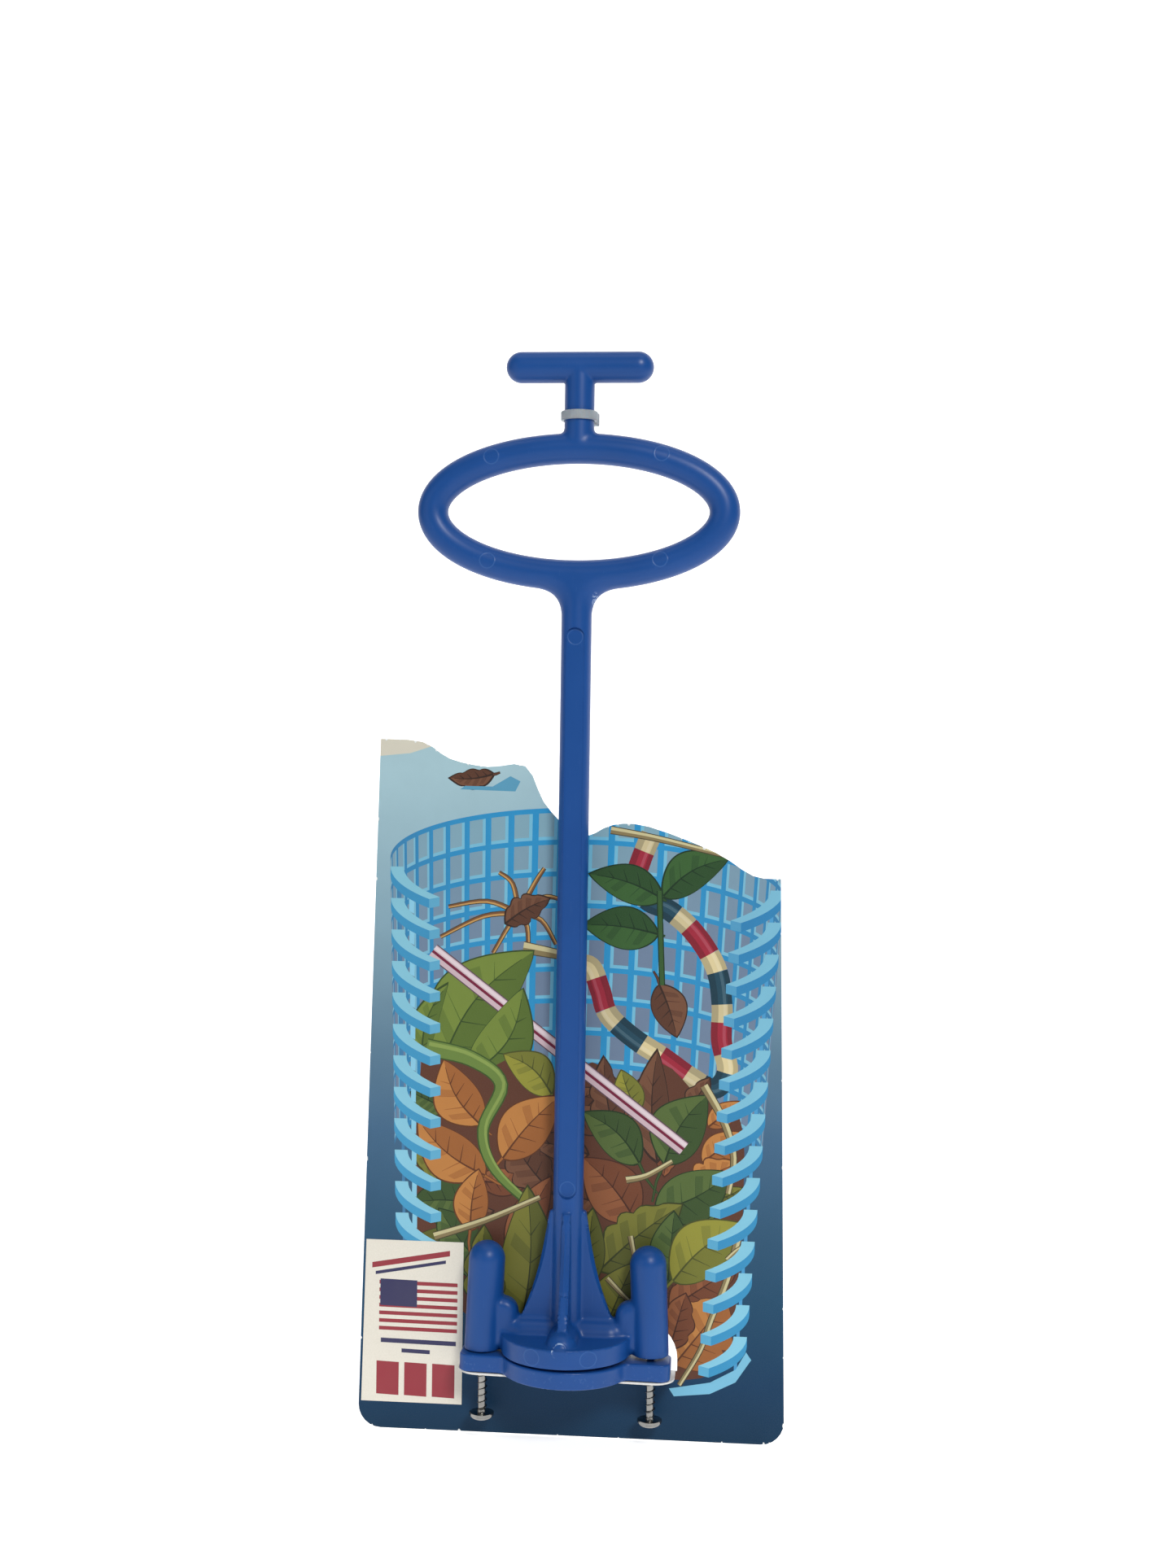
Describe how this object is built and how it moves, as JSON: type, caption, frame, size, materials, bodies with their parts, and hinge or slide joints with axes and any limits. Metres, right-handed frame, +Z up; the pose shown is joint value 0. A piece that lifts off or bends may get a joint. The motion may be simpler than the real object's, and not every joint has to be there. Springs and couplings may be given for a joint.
{
  "type": "skimmer basket handle",
  "caption": "Moulded handle with an oval hand ring and T-bar on a long shaft, with a screw-on clamp plate, tied to a printed display card.",
  "frame": {"origin": "on the shaft's axis, in the plane of the handle's flat underside, where a basket's floor is gripped", "axes": "+Z up the shaft towards the T-bar, -Y out of the front that the recessed panel faces, +X to the right seen from the front"},
  "size_m": [0.1686, 0.0508, 0.4251],
  "materials": {
    "handle_plastic": "moulded blue plastic, satin",
    "plate_plastic": "moulded blue plastic, satin",
    "screw_steel": "bright stainless steel",
    "tie_nylon": "natural translucent nylon",
    "printed_card": "printed and varnished board",
    "card_board": "uncoated white back of the board",
    "sticker_paper": "printed paper label"
  },
  "bodies": {
    "handle": {"handle": "handle_plastic"},
    "clamp": {"clamp_plate": "plate_plastic", "card_flap": "card_board"},
    "card": {"display_card": "printed_card", "sticker": "sticker_paper"},
    "screw_left": {"screw_left": "screw_steel"},
    "screw_right": {"screw_right": "screw_steel"},
    "tie": {"cable_tie": "tie_nylon"}
  },
  "joints": [
    {"name": "clamp_drop", "type": "slide", "parent": "handle", "child": "clamp", "axis": [0, 0, 1], "range_m": [-0.003, 0]},
    {"name": "card_fold", "type": "hinge", "parent": "clamp", "child": "card", "pos_m": [0, 0.0075, -0.0082], "axis": [-0.9999, 0, 0.0157], "range_deg": [0, 4]},
    {"name": "screw_left_drive", "type": "slide", "parent": "handle", "child": "screw_left", "axis": [0, 0, 1], "range_m": [-0.0125, 0.0132]},
    {"name": "screw_right_drive", "type": "slide", "parent": "handle", "child": "screw_right", "axis": [0, 0, 1], "range_m": [-0.0125, 0.0124]},
    {"name": "tie_slide", "type": "slide", "parent": "handle", "child": "tie", "axis": [0, 0, 1], "range_m": [-0.003, 0.0095]}
  ]
}
